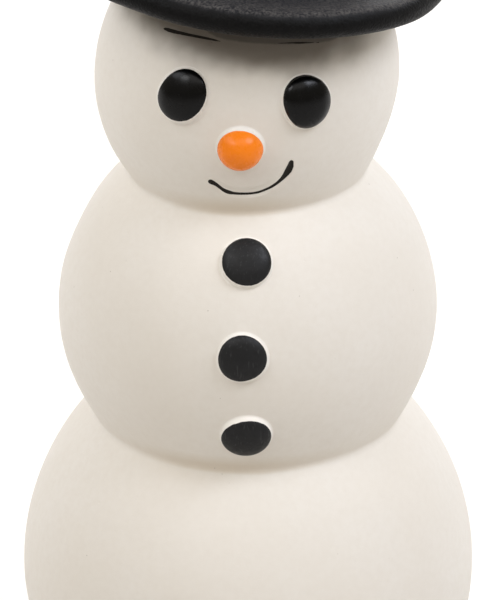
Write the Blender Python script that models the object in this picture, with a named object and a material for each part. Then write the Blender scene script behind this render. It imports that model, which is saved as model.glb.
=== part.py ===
"""Wooden snowman figure: three turned balls and a turned top hat, stacked on glued dowel pins.

The balls are slightly taller than wide, and each is cut flat where it meets its neighbour, so the
radii of those flats settle how high every ball stands. Eyes, nose and coat buttons are domed
plugs, each with a tenon glued into its own drilled hole. The smile is a groove cut into the head.
Metres, +Z up, the face looks along -Y, and the origin is the middle of the foot.
"""

import math

import bmesh
import bpy
from mathutils import Matrix, Vector

MM = 0.001
GLUE_GAP = 0.3 * MM  # left between any two pieces that are glued together

# Balls: radius, and half the height that the whole ball would have.
LOWER_BALL = (45.5 * MM, 48.7 * MM)
MIDDLE_BALL = (37.5 * MM, 38.5 * MM)
HEAD_BALL = (29.6 * MM, 33.7 * MM)

# Flats, bottom to top.
FOOT_RADIUS = 29.0 * MM
FOOT_EDGE = 1.5 * MM  # height of the softened edge round the foot
WAIST_RADIUS = 31.0 * MM
NECK_RADIUS = 23.4 * MM
HAT_SEAT_RADIUS = 23.4 * MM

# Hat, square to an axis through the head's centre that leans towards +X.
HAT_LEAN = math.radians(5.5)
BRIM_RADIUS = 38.0 * MM
BRIM_THICKNESS = 5.7 * MM
CROWN_FOOT_RADIUS = 23.2 * MM
CROWN_TOP_RADIUS = 24.6 * MM
CROWN_HEIGHT = 34.0 * MM
CROWN_EDGE_ROUND = 3.0 * MM

# Fluted dowel pins: radius, length, and how far each reaches into the piece below it.
WAIST_PIN = (5.0 * MM, 40.0 * MM, 20.0 * MM)
NECK_PIN = (4.0 * MM, 30.0 * MM, 15.0 * MM)
HAT_PIN = (4.0 * MM, 40.0 * MM, 17.0 * MM)
PIN_FLUTES = 12
FLUTE_DEPTH = 0.35 * MM
PIN_CHAMFER = 1.0 * MM
GLUE_WELL = 1.5 * MM  # a hole is this much deeper than its pin or tenon
DRILL_POINT = math.radians(31.0)  # slope of the cone that a drill leaves

# Paints and wood: name, colour and roughness.
CREAM = ("cream_paint", (0.80, 0.76, 0.69), 0.55)
HAT_BLACK = ("hat_black", (0.022, 0.022, 0.024), 0.50)
EYE_BLACK = ("eye_black", (0.010, 0.010, 0.011), 0.22)
BUTTON_BLACK = ("button_black", (0.018, 0.018, 0.019), 0.40)
NOSE_ORANGE = ("nose_orange", (0.86, 0.23, 0.02), 0.28)
BEECH = ("beech", (0.62, 0.43, 0.26), 0.70)

# Domed plugs: radius of the head, how far it stands proud, and its paint.
EYE = (5.3 * MM, 2.2 * MM, EYE_BLACK)
NOSE = (4.6 * MM, 4.3 * MM, NOSE_ORANGE)
BUTTON = (5.0 * MM, 2.0 * MM, BUTTON_BLACK)
PLUG_TENON_RADIUS = 3.0 * MM
PLUG_TENON_LENGTH = 8.0 * MM
PLUG_RIM_HEIGHT = 0.2 * MM
SPOT_FACE_DEPTH = 0.8 * MM

# Where each plug sits on its ball: degrees round from the front towards +X, and height above
# the ball's centre.
HEAD_PLUGS = {
    "eye_left": (EYE, -24.5, 4.9 * MM),
    "eye_right": (EYE, 23.0, 3.7 * MM),
    "nose": (NOSE, -2.2, -4.7 * MM),
}
MIDDLE_PLUGS = {
    "button_upper": (BUTTON, 0.1, 22.7 * MM),
    "button_middle": (BUTTON, -1.2, 5.7 * MM),
    "button_lower": (BUTTON, -0.2, -11.7 * MM),
}

# Smile, seen from the front, from its right end to its left: how far to the right of the head's
# centre each point is, and its height from that centre.
SMILE = (
    (8.58 * MM, -8.15 * MM),
    (8.26 * MM, -9.96 * MM),
    (7.02 * MM, -11.92 * MM),
    (5.42 * MM, -13.39 * MM),
    (3.49 * MM, -14.43 * MM),
    (1.89 * MM, -15.03 * MM),
    (-0.40 * MM, -15.22 * MM),
    (-2.94 * MM, -15.09 * MM),
    (-4.42 * MM, -14.48 * MM),
    (-5.81 * MM, -13.09 * MM),
    (-6.83 * MM, -12.32 * MM),
)
GROOVE_RADIUS = 0.75 * MM
GROOVE_DEPTH = 0.5 * MM

BALL_STEPS, BALL_ROWS = 48, 14
HAT_STEPS, HAT_EDGE_ROWS = 48, 8
PLUG_STEPS, DOME_ROWS = 20, 4
SHARP_ANGLE = math.radians(35)
WELD = 1e-7


# Scene and materials


def clear_scene():
    for obj in list(bpy.data.objects):
        bpy.data.objects.remove(obj)


def material(spec):
    """The paint or wood of that name, made once."""
    name, colour, roughness = spec
    if name in bpy.data.materials:
        return bpy.data.materials[name]
    made = bpy.data.materials.new(name)
    made.use_nodes = True
    shader = made.node_tree.nodes["Principled BSDF"]
    shader.inputs["Base Color"].default_value = (*colour, 1)
    shader.inputs["Roughness"].default_value = roughness
    shader.inputs["Metallic"].default_value = 0
    return made


def add_empty(name, location, rotation=(0, 0, 0)):
    empty = bpy.data.objects.new(name, None)
    bpy.context.scene.collection.objects.link(empty)
    empty.location = location
    empty.rotation_euler = rotation
    return empty


def add_solid(name, shape, finish, parent=None, place=None):
    """Makes an object of a closed bmesh shape, placed in its parent's space."""
    bmesh.ops.recalc_face_normals(shape, faces=shape.faces)
    mesh = bpy.data.meshes.new(name)
    shape.to_mesh(mesh)
    shape.free()
    mesh.shade_smooth()
    mesh.set_sharp_from_angle(angle=SHARP_ANGLE)
    if finish:
        mesh.materials.append(material(finish))
    solid = bpy.data.objects.new(name, mesh)
    bpy.context.scene.collection.objects.link(solid)
    solid.parent = parent
    if place:
        solid.matrix_local = place
    return solid


def cut(target, cutter):
    """Takes the cutter's shape out of the target, and keeps the cutter as a hidden helper."""
    cutter.hide_render = True
    cutter.display_type = "WIRE"
    taken = target.modifiers.new(cutter.name, "BOOLEAN")
    taken.operation = "DIFFERENCE"
    taken.solver = "EXACT"
    taken.object = cutter


# Shapes


def turned(outline, steps, ring=False):
    """Turns an outline of (radius, height) points about Z. It runs from axis to axis, or, for a
    ring, round a closed section that stays clear of the axis."""
    shape = bmesh.new()
    points = [shape.verts.new((radius, 0, height)) for radius, height in outline]
    followers = points[1:] + (points[:1] if ring else [])
    edges = [shape.edges.new(pair) for pair in zip(points, followers)]
    bmesh.ops.spin(
        shape,
        geom=points + edges,
        cent=(0, 0, 0),
        axis=(0, 0, 1),
        angle=math.tau,
        steps=steps,
        use_merge=True,
    )
    bmesh.ops.remove_doubles(shape, verts=shape.verts, dist=WELD)
    return shape


def lofted(rings):
    """Joins rings of equal numbers of points into one closed skin, with flat ends."""
    shape = bmesh.new()
    loops = [[shape.verts.new(point) for point in ring] for ring in rings]
    for low, high in zip(loops, loops[1:]):
        for i in range(len(low)):
            j = (i + 1) % len(low)
            shape.faces.new((low[i], low[j], high[j], high[i]))
    shape.faces.new(reversed(loops[0]))
    shape.faces.new(loops[-1])
    return shape


def arc(centre, radii, start, end, steps):
    """Points on an arc of an ellipse from the start angle to the end angle, both included."""
    angles = [start + (end - start) * i / steps for i in range(steps + 1)]
    return [
        (centre[0] + radii[0] * math.cos(a), centre[1] + radii[1] * math.sin(a))
        for a in angles
    ]


def drilled(radius, mouth, depth, way):
    """Outline of a drilled hole from its mouth to its point on the axis; way is +1 up, -1 down."""
    floor = mouth + way * depth
    return [
        (radius, mouth),
        (radius, floor),
        (0, floor + way * radius * math.tan(DRILL_POINT)),
    ]


# Balls


def height_at(radius, ball):
    """How far above its centre a whole ball has this radius."""
    ball_radius, half_height = ball
    return half_height * math.sqrt(1 - (radius / ball_radius) ** 2)


def ball_side(ball, low_height, high_height):
    """The turned side of a ball between two heights from its centre, bottom to top."""
    start = math.asin(low_height / ball[1])
    end = math.asin(high_height / ball[1])
    return arc((0, 0), ball, start, end, BALL_ROWS)


def pin_hole(pin, mouth, reach, way):
    return drilled(pin[0] + GLUE_GAP, mouth, reach + GLUE_WELL, way)


def make_lower(parent):
    foot = -height_at(FOOT_RADIUS, LOWER_BALL)
    seat = height_at(WAIST_RADIUS, LOWER_BALL) - GLUE_GAP / 2
    foot_edge = [
        (0, foot),
        (FOOT_RADIUS - FOOT_EDGE / 2, foot),
        (FOOT_RADIUS + FOOT_EDGE / 3, foot + FOOT_EDGE / 3),
    ]
    side = ball_side(LOWER_BALL, foot + FOOT_EDGE, seat)
    outline = foot_edge + side + pin_hole(WAIST_PIN, seat, WAIST_PIN[2], -1)
    return add_solid("body_lower", turned(outline, BALL_STEPS), CREAM, parent)


def make_middle(parent):
    low_seat = GLUE_GAP / 2 - height_at(WAIST_RADIUS, MIDDLE_BALL)
    high_seat = height_at(NECK_RADIUS, MIDDLE_BALL) - GLUE_GAP / 2
    waist_reach = WAIST_PIN[1] - WAIST_PIN[2]
    outline = (
        pin_hole(WAIST_PIN, low_seat, waist_reach, +1)[::-1]
        + ball_side(MIDDLE_BALL, low_seat, high_seat)
        + pin_hole(NECK_PIN, high_seat, NECK_PIN[2], -1)
    )
    return add_solid("body_middle", turned(outline, BALL_STEPS), CREAM, parent)


def make_head(parent):
    """The head's top stays whole here: the slanting hat seat is sawn off it afterwards."""
    top = HEAD_BALL[1]
    low_seat = GLUE_GAP / 2 - height_at(NECK_RADIUS, HEAD_BALL)
    neck_reach = NECK_PIN[1] - NECK_PIN[2]
    side = ball_side(HEAD_BALL, low_seat, top)[:-1] + [(0, top)]
    outline = pin_hole(NECK_PIN, low_seat, neck_reach, +1)[::-1] + side
    return add_solid("head", turned(outline, BALL_STEPS), CREAM, parent)


# Plugs


def place_on(ball, degrees, height):
    """Where a plug sits: its origin on the ball's surface and its Z along the outward normal."""
    round_front = math.radians(degrees)
    out = ball[0] * math.sqrt(1 - (height / ball[1]) ** 2)
    sideways, forwards = math.sin(round_front), -math.cos(round_front)
    point = Vector((out * sideways, out * forwards, height))
    slope = Vector(
        (point.x / ball[0] ** 2, point.y / ball[0] ** 2, point.z / ball[1] ** 2)
    )
    turn = slope.to_track_quat("Z", "Y").to_matrix().to_4x4()
    return Matrix.Translation(point) @ turn


def plug_outline(radius, proud):
    """Chamfered tenon, flat shoulder, short rim and dome, from the tenon's end upwards."""
    shoulder = GLUE_GAP - SPOT_FACE_DEPTH
    tenon_end = shoulder - PLUG_TENON_LENGTH
    radii = (radius, proud - PLUG_RIM_HEIGHT)
    dome = arc((0, PLUG_RIM_HEIGHT), radii, 0, math.pi / 2, DOME_ROWS)
    return [
        (0, tenon_end),
        (PLUG_TENON_RADIUS - PIN_CHAMFER / 2, tenon_end),
        (PLUG_TENON_RADIUS, tenon_end + PIN_CHAMFER / 2),
        (PLUG_TENON_RADIUS, shoulder),
        (radius, shoulder),
    ] + dome[:-1] + [(0, proud)]


def plug_hole_outline(radius):
    """Spot face and drilled hole as one stepped cutter, from the drill's point upwards."""
    floor = -SPOT_FACE_DEPTH
    depth = PLUG_TENON_LENGTH + GLUE_WELL
    hole = drilled(PLUG_TENON_RADIUS + GLUE_GAP, floor, depth, -1)
    wide = radius + GLUE_GAP
    return hole[::-1] + [(wide, floor), (wide, radius), (0, radius)]


def add_plug(name, target, ball, spec):
    (radius, proud, finish), degrees, height = spec
    place = place_on(ball, degrees, height)
    hole = turned(plug_hole_outline(radius), PLUG_STEPS)
    cut(target, add_solid(name + "_hole", hole, None, target, place))
    plug = turned(plug_outline(radius, proud), PLUG_STEPS)
    return add_solid(name, plug, finish, target, place)


# Dowel pins


def add_pin(name, pin, joint_height, parent):
    """A fluted pin on its parent's Z axis, reaching its share below the height of the joint."""
    radius, length, reach_below = pin
    bottom = joint_height - reach_below
    stations = (
        (0, PIN_CHAMFER / 2),
        (PIN_CHAMFER, 0),
        (length - PIN_CHAMFER, 0),
        (length, PIN_CHAMFER / 2),
    )
    rings = []
    for along, inset in stations:
        ring = []
        for i in range(2 * PIN_FLUTES):
            out = radius - inset - (FLUTE_DEPTH if i % 2 else 0)
            turn = math.pi * i / PIN_FLUTES
            ring.append((out * math.cos(turn), out * math.sin(turn), bottom + along))
        rings.append(ring)
    return add_solid(name, lofted(rings), BEECH, parent)


# Smile


def smile_line():
    """The smile's points with every corner between its two ends cut off once."""
    points = [Vector(point) for point in SMILE]
    line = []
    for near, far in zip(points, points[1:]):
        line.append(near.lerp(far, 0.25))
        line.append(near.lerp(far, 0.75))
    return [points[0]] + line[1:-1] + [points[-1]]


def smile_cutter():
    """A round bar that follows the smile just outside the head's surface."""
    lift = GROOVE_RADIUS - GROOVE_DEPTH
    across = HEAD_BALL[0] + lift
    up = HEAD_BALL[1] + lift
    path = []
    for sideways, height in smile_line():
        depth = across * math.sqrt(1 - (sideways / across) ** 2 - (height / up) ** 2)
        path.append(Vector((sideways, -depth, height)))
    rings = []
    for i, point in enumerate(path):
        ahead = (path[min(i + 1, len(path) - 1)] - path[max(i - 1, 0)]).normalized()
        out = (point - ahead * point.dot(ahead)).normalized()
        side = ahead.cross(out)
        turns = [math.tau * k / 8 for k in range(8)]
        rings.append(
            [
                point
                + GROOVE_RADIUS * (math.cos(turn) * out + math.sin(turn) * side)
                for turn in turns
            ]
        )
    return lofted(rings)


# Hat, in the space of its leaning axis, whose zero is the underside of the brim


def make_brim(axis):
    half = BRIM_THICKNESS / 2
    bore = HAT_PIN[0] + GLUE_GAP
    centre = (BRIM_RADIUS - half, half)
    edge = arc(centre, (half, half), -math.pi / 2, math.pi / 2, HAT_EDGE_ROWS)
    section = [(bore, 0)] + edge + [(bore, BRIM_THICKNESS)]
    return add_solid("hat_brim", turned(section, HAT_STEPS, True), HAT_BLACK, axis)


def make_crown(axis):
    foot = BRIM_THICKNESS + GLUE_GAP
    top = BRIM_THICKNESS + CROWN_HEIGHT
    reach = HAT_PIN[1] - HAT_PIN[2] - BRIM_THICKNESS
    corner = arc(
        (CROWN_TOP_RADIUS - CROWN_EDGE_ROUND, top - CROWN_EDGE_ROUND),
        (CROWN_EDGE_ROUND, CROWN_EDGE_ROUND),
        0,
        math.pi / 2,
        HAT_EDGE_ROWS // 2,
    )
    outline = (
        pin_hole(HAT_PIN, foot, reach, +1)[::-1]
        + [(CROWN_FOOT_RADIUS, foot)]
        + corner
        + [(0, top)]
    )
    return add_solid("hat_crown", turned(outline, HAT_STEPS), HAT_BLACK, axis)


def hat_seat_cutter_outline():
    """Everything above the brim's underside, with the pin's hole below it, as one cutter."""
    seat = -GLUE_GAP
    clear = 2 * HEAD_BALL[0]
    hole = pin_hole(HAT_PIN, seat, HAT_PIN[2], -1)[::-1]
    return hole + [(clear, seat), (clear, clear), (0, clear)]


# Assembly


def main():
    clear_scene()
    lower_centre = height_at(FOOT_RADIUS, LOWER_BALL)
    waist = lower_centre + height_at(WAIST_RADIUS, LOWER_BALL)
    middle_centre = waist + height_at(WAIST_RADIUS, MIDDLE_BALL)
    neck = middle_centre + height_at(NECK_RADIUS, MIDDLE_BALL)
    head_centre = neck + height_at(NECK_RADIUS, HEAD_BALL)
    hat_rise = height_at(HAT_SEAT_RADIUS, HEAD_BALL)
    hat_sideways = hat_rise * math.sin(HAT_LEAN)
    hat_height = head_centre + hat_rise * math.cos(HAT_LEAN)

    stack_axis = add_empty("stack_axis", (0, 0, 0))
    hat_axis = add_empty("hat_axis", (hat_sideways, 0, hat_height), (0, HAT_LEAN, 0))
    make_lower(add_empty("lower_centre", (0, 0, lower_centre)))
    middle = make_middle(add_empty("middle_centre", (0, 0, middle_centre)))
    head = make_head(add_empty("head_centre", (0, 0, head_centre)))

    add_pin("waist_dowel", WAIST_PIN, waist, stack_axis)
    add_pin("neck_dowel", NECK_PIN, neck, stack_axis)
    add_pin("hat_dowel", HAT_PIN, 0, hat_axis)

    seat_shape = turned(hat_seat_cutter_outline(), BALL_STEPS)
    cut(head, add_solid("hat_seat", seat_shape, None, hat_axis))
    cut(head, add_solid("smile_groove", smile_cutter(), None, head))
    for name, spec in HEAD_PLUGS.items():
        add_plug(name, head, HEAD_BALL, spec)
    for name, spec in MIDDLE_PLUGS.items():
        add_plug(name, middle, MIDDLE_BALL, spec)

    make_brim(hat_axis)
    make_crown(hat_axis)


main()
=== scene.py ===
"""Looks of the wooden snowman: painted turned balls, domed plugs and a leaning black top hat.

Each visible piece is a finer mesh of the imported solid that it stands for, and takes its place and
size from that solid. The three balls share one outline, with a soft fillet wherever two of them
meet, so that the paint runs over the joints. Hand work leaves soft dents in it, and the head and
the brim a little out of true. Metres, +Z up, the face looks along -Y.
"""

import math

import bpy
import numpy as np
from mathutils import Matrix, Vector


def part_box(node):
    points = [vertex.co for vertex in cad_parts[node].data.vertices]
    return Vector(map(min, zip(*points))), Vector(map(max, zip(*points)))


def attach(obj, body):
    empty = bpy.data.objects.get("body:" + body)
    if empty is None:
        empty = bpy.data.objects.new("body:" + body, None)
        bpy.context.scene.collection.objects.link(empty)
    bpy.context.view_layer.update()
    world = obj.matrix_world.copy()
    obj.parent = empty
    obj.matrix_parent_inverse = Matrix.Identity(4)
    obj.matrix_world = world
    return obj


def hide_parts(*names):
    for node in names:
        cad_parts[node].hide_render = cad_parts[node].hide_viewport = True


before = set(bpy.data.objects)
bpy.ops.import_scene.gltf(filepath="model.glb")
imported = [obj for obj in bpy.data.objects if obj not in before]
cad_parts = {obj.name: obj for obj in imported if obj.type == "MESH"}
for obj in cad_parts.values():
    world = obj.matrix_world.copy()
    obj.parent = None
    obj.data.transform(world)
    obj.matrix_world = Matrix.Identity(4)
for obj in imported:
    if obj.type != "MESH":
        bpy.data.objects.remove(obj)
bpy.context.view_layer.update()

MM = 0.001
BODY = "root"
SEAM = 0.004 * MM  # half of the gap between two painted pieces, too thin to see

# Balls
CREASE_BLEND = 1.5 * MM  # balls whose radii differ by less than this melt into each other
LONG_SWELL = (3, 42 * MM, 0.08 * MM)  # seed, wavelength and height of hand sanding's unevenness
SHORT_SWELL = (8, 13 * MM, 0.025 * MM)
PIN_GAP = 0.3 * MM
GLUE_WELL = 1.5 * MM
DRILL_SLOPE = math.tan(math.radians(31))
FOOT_EDGE = (1.3 * MM, 1.5 * MM)  # width and height of the foot's rounded edge

# Soft dents (-) and swellings (+) of the balls: the level that its height is taken from, degrees
# round from the front towards +X, height, half width, half height, and how far it goes in or out.
# Lengths are in mm.
DENTS = (
    ("waist", -19, -1.5, 5.0, 1.3, -0.30),
    ("waist", 4, -0.4, 3.0, 0.9, 0.25),
    ("waist", 0, -0.8, 12.0, 1.6, 0.16),
    ("neck", 0, -0.9, 11.0, 1.6, 0.24),
    ("neck", 50, -0.9, 8.0, 1.6, 0.22),
    ("lower_ball", -90, -11.0, 16.0, 5.5, -0.60),
    ("lower_ball", -90, 27.0, 18.0, 10.0, -0.15),
    ("middle_ball", -90, 16.5, 16.0, 7.0, -0.50),
    ("middle_ball", 90, 1.5, 14.0, 9.0, 0.26),
    ("middle_ball", 90, -15.8, 14.0, 6.0, -0.42),
    ("middle_ball", -90, 3.0, 14.0, 8.0, -0.10),
    ("head_ball", -90, -6.0, 15.0, 7.0, 0.16),
    ("head_ball", -85, 19.0, 20.0, 12.0, -0.96),
    ("head_ball", 90, -1.5, 15.0, 6.5, 0.26),
    ("head_ball", 90, 9.5, 15.0, 4.0, -0.22),
)
# How much the head leans towards +X for each unit of height from its centre, and the height above
# the neck over which the lean comes in.
HEAD_LEAN = (0.03, 8.0 * MM)

# Hat
BRIM_COLUMNS = 240
CROWN_COLUMNS = 200
BRIM_SWELL = (5, 16 * MM, 0.05 * MM)  # seed, wavelength and height of its unevenness
CROWN_SWELL = (9, 18 * MM, 0.05 * MM)
BRIM_SHRINK = 0.10 * MM  # how much thinner than the solid, so that the swell stays inside it
CROWN_SHRINK = 0.12 * MM
SWELL_FADES_IN = 10 * MM  # over this distance out from the hat's axis
FOOT_FADES_IN = 3 * MM  # over this height above the crown's foot
# The hat's paint turns grey where it faces up and at its edges: wear, and painted sheen of the
# light from above
WEAR_AND_SHEEN_FACING = (0.72, 0.92)  # how far the paint faces up where its wear starts, and is full
WEAR_AND_SHEEN_EDGE = 5 * MM  # the wear fades over this distance inwards from an edge

# The brim's sides hang a little and stand a little further in: from how far to the side, to how
# far, and by how much. Near the crown and the head it is true, up to the first radius below.
LEFT_DROOP = (19 * MM, 31 * MM, 0.80 * MM)
RIGHT_DROOP = (21.5 * MM, 31 * MM, 0.34 * MM)
BRIM_PINCH = (31 * MM, 37 * MM, 0.5 * MM)
DROOPS_FROM = (25 * MM, 31 * MM)  # radii where the droop starts, and is full

CROWN_FOOT = 23.2 * MM  # radius
CROWN_FILLET = 0.7 * MM  # radius of the paint where it meets the brim
CROWN_EDGE = 3.0 * MM  # radius of its rounded top edge
LATE_FLARE = 0.25  # how much of its flare is held back towards its top
CROWN_WAIST = 0.35 * MM  # how far it is drawn in half way up
TOP_DISH = 0.12 * MM  # how far the middle of its top is sunk
CROWN_ROWS = 35

# Smile: points along it from its right end, as (sideways, height from the head's centre), in mm.
SMILE = (
    (8.58, -8.15),
    (8.26, -9.96),
    (7.02, -11.92),
    (5.42, -13.39),
    (3.49, -14.43),
    (1.89, -15.03),
    (-0.40, -15.22),
    (-2.94, -15.09),
    (-4.42, -14.48),
    (-5.81, -13.09),
    (-6.83, -12.32),
)
GROOVE = (0.34 * MM, 0.5 * MM, 1.6 * MM)  # depth, half width of its floor, half width of its mouth
GROOVE_TAPER = 0.7  # how far the groove narrows at its two ends, in half widths of its mouth
STROKE_DROP = 0.44 * MM  # the paint sits a little low in the groove

# Rows of the head's skin, by height from its centre: finest between the smile's two heights, fine
# again above the slips', and level up to the last.
SMILE_ROWS = (-18.4 * MM, -6.0 * MM)
SLIP_ROWS = 12.5 * MM
LEVEL_ROWS = 3.0 * MM

# How half of its stroke's width changes along it, as (share of the way, half width in mm).
SMILE_STROKE = (
    (0.0, 0.52),
    (0.04, 0.72),
    (0.11, 0.74),
    (0.17, 0.56),
    (0.26, 0.39),
    (0.42, 0.34),
    (0.60, 0.35),
    (0.73, 0.40),
    (0.79, 0.54),
    (0.88, 0.40),
    (0.95, 0.44),
    (1.0, 0.60),
)
# Slips of the brush on the head, close under the hat, point by point: degrees round from the front,
# height above the head's centre and half width in mm.
SLIPS = (
    (
        (-37.6, 16.18, 0.20),
        (-35.5, 16.16, 0.36),
        (-32.2, 16.14, 0.36),
        (-24.9, 16.12, 0.27),
        (-18.0, 16.02, 0.24),
        (-13.3, 15.85, 0.18),
        (-10.8, 15.75, 0.06),
    ),
    (
        (13.0, 15.33, 0.08),
        (22.4, 14.92, 0.18),
        (31.0, 14.38, 0.08),
    ),
)
# Painted shadow of the brim on the head: the two distances below the hat between which it fades
#  out, and how dense it is. Its sides are where it is centred, its half width, and how much nearer
#  to the hat it ends at that half width, to the left and to the right.
BRIM_SHADOW = (7.6 * MM, 12.0 * MM, 0.76)
BRIM_SHADOW_SIDES = (math.radians(6), math.radians(60), 3.4 * MM, 5.6 * MM)
BRIM_SHADOW_BLUR = 1.2  # how much softer its edge is at that half width to either side

# A dark band on the head just under the brim, across its front: how far down the head it comes,
#  where it is centred, how far it reaches to either side, and how dense it is.
UNDER_BRIM_BAND = (5.0 * MM, math.radians(13), math.radians(22), 0.42)
UNDER_BRIM_BAND_RISE = 6.0 * MM  # how much higher its edge is at twice that reach

# Painted shade in the creases: a warm darkening, strongest across the front
CREASE_SHADE_REACH = 3.0 * MM  # it fades out over this distance
CREASE_SHADE_HEIGHT = 1.6 * MM  # it stays full this far above a crease
CREASE_SHADE_FALL = 5  # how many times faster it fades out below a crease
CREASE_SHADE_MIDDLE = math.radians(-6)  # where round the front it is strongest
CREASE_SHADE_HALF_WIDTH = math.radians(33)

# Plugs
TENON_RADIUS = 3.0 * MM
TENON_LENGTH = 8.0 * MM
TENON_CHAMFER = 0.5 * MM
SKIRT = 0.38 * MM  # radius of the paint's fillet round the foot of a plug
SPOT_FACE_INSET = 0.30 * MM  # the hole's edge stays hidden this far inside the dome's foot
SPOT_FACE_GAP = 0.10 * MM  # between the hole's edge and the plug's shoulder
# Outside its fillet a plug's skin goes on just under the ball's paint: how far, how deep it is
# there, and how deep it is back at the plug's neck.
TUCK = (0.12 * MM, 0.05 * MM, 0.08 * MM)
PLUG_COLUMNS = 112
HOLE_COLUMNS = 48
SKIRT_ROWS = 7
DOME_ROWS = 28
DOME_SPACING = 1.3  # above 1, the dome's rows are closer together near its foot

# How hand work leaves each plug, in mm. Seen from outside, waves round it are (how many times
# round, amount, degrees from its right where it is largest): oval for the dome's foot, and rim for
# the bare rim between the dome's foot and the paint.
EYE_LEFT = dict(
    fullness=2.05,
    spread=0.0,
    oval=((1, 0.11, 55), (2, 0.40, 53), (3, 0.09, -51)),
    rim=0.80,
    rim_waves=((1, 0.58, -112), (2, 0.12, -30)),
)
EYE_RIGHT = dict(
    fullness=2.1,
    spread=-0.25,
    oval=((1, 0.23, 89), (2, 0.26, -69), (3, 0.07, 9)),
    rim=0.12,
    rim_waves=((1, 0.22, -89), (2, 0.20, 26)),
)
NOSE = dict(
    fullness=2.2,
    spread=-0.26,
    oval=((1, 0.20, 101), (2, 0.08, 6)),
    rim=0.62,
    rim_waves=((1, 0.17, 92), (2, 0.14, 49)),
)
BUTTON_UPPER = dict(
    fullness=2.4,
    spread=-0.15,
    oval=((1, 0.20, -157), (2, 0.03, -88)),
    rim=0.56,
    rim_waves=((1, 0.24, -135), (2, 0.11, 86)),
)
BUTTON_MIDDLE = dict(
    fullness=2.4,
    spread=-0.18,
    oval=((1, 0.10, -159), (2, 0.03, 87), (3, 0.08, -18)),
    rim=0.65,
    rim_waves=((1, 0.32, -54), (2, 0.20, -73)),
)
BUTTON_LOWER = dict(
    fullness=2.4,
    spread=-0.15,
    oval=((1, 0.13, 178), (2, 0.14, 36), (3, 0.03, 56)),
    rim=0.48,
    rim_waves=((1, 0.20, 118), (2, 0.11, -81)),
)

# How strongly each paint shines
CREAM_IOR = 1.3
EYE_IOR = 1.32
PLUG_IOR = 1.34
HAT_IOR = 1.23
BEECH_IOR = 1.45

# Camera, placed from the middle ball's centre
CAMERA_DISTANCE = 1.00933
CAMERA_RISE = 0.4404
CAMERA_PITCH = 0.4399
CAMERA_ROLL = 0.0033
CAMERA_SIDEWAYS = 0.75 * MM
LENS = 305.09

# Studio
FLOOR_HALF = 6.0
GLOW = (-40 * MM, 60 * MM, 0.45)  # the floor's: the Y where it starts, where it is full, strength
SKY_LIGHT = (0.34, 0.31, 0.26)
HORIZON = 0.05  # half the height of the band in which the world's light changes
SOFTBOX_AIM = Vector((0, 0, 0.1))
SOFTBOX_DISTANCE = 1.4
# Each softbox: name, azimuth in degrees from the front towards +X, elevation, power, size, colour.
SOFTBOXES = (
    ("left", -90, 44, 4.1, (0.9, 0.6), (0.97, 1.0, 1.08)),
    ("front_left", -46, 42, 3.8, (0.52, 0.36), (0.99, 1.0, 1.02)),
    ("right", 68, 47, 9.9, (0.76, 0.50), (0.95, 1.0, 1.12)),
    ("top_front", 8, 54, 4.2, (1.2, 1.0), (1.02, 1.0, 1.0)),
    ("back", 180, 26, 17.0, (3.0, 1.1), (0.98, 1.0, 1.06)),
)


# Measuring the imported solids


def points_of(node):
    """The node's distinct vertices, one to a row."""
    points = np.array([vertex.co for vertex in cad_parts[node].data.vertices])
    return np.unique(np.round(points, 7), axis=0)


def ball_of(node):
    """(radius, half height, height of the centre) of the ball that a node was turned from, fitted
    to its back, which has no holes."""
    points = points_of(node)
    across = np.hypot(points[:, 0], points[:, 1])
    side = (points[:, 1] > 0) & (across > 0.86 * across.max())
    bend, slope, level = np.polyfit(points[side, 2], across[side] ** 2, 2)
    radius = math.sqrt(level - slope**2 / (4 * bend))
    return radius, radius / math.sqrt(-bend), -slope / (2 * bend)


def turned_about(node):
    """(point, axis, low, high, radius) of a turned solid: a point on its axis, the axis itself,
    pointing up or out, the solid's two ends along it from that point, and its largest radius."""
    points = points_of(node)
    middle = points.mean(axis=0)
    spreads, directions = np.linalg.eigh(np.cov((points - middle).T))
    odd_one = 0 if spreads[1] - spreads[0] > spreads[2] - spreads[1] else 2
    axis = directions[:, odd_one]
    upright = abs(axis[2]) > 0.9
    out = np.array((0, 0, 1)) if upright else middle * (1, 1, 0)
    axis = axis if axis @ out > 0 else -axis
    along = (points - middle) @ axis
    across = np.linalg.norm(points - middle - np.outer(along, axis), axis=1)
    return middle, axis, along.min(), along.max(), across.max()


LOWER, MIDDLE, HEAD = (ball_of(node) for node in ("body_lower", "body_middle", "head"))
WAIST = (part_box("body_lower")[1].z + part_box("body_middle")[0].z) / 2
NECK = (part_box("body_middle")[1].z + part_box("head")[0].z) / 2
LEVELS = {
    "waist": WAIST,
    "neck": NECK,
    "lower_ball": LOWER[2],
    "middle_ball": MIDDLE[2],
    "head_ball": HEAD[2],
}
UP = np.array((0.0, 0.0, 1.0))


# The painted body's outline


def ball_radius(ball, heights):
    radius, half_height, centre = ball
    return radius * np.sqrt(np.maximum(1 - ((heights - centre) / half_height) ** 2, 0))


def melted(one, other, width):
    """The larger of two radii, rounded where they differ by less than the width."""
    near = np.maximum(width - np.abs(one - other), 0)
    return np.maximum(one, other) + near**2 / (4 * width)


def easing(values, low, high, full=1):
    """From 0 where the values are low to full where they are high, gently at both ends."""
    share = np.clip((values - low) / (high - low), 0, 1)
    return full * share**2 * (3 - 2 * share)


def waves(points, seed, wavelength, height, count=9):
    """A smooth random swell with about that wavelength and height."""
    random = np.random.default_rng(seed)
    directions = random.normal(size=(3, count))
    directions *= math.tau / wavelength / np.linalg.norm(directions, axis=0)
    phases = random.uniform(0, math.tau, count)
    return height * math.sqrt(2 / count) * np.cos(points @ directions + phases).sum(axis=-1)


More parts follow.
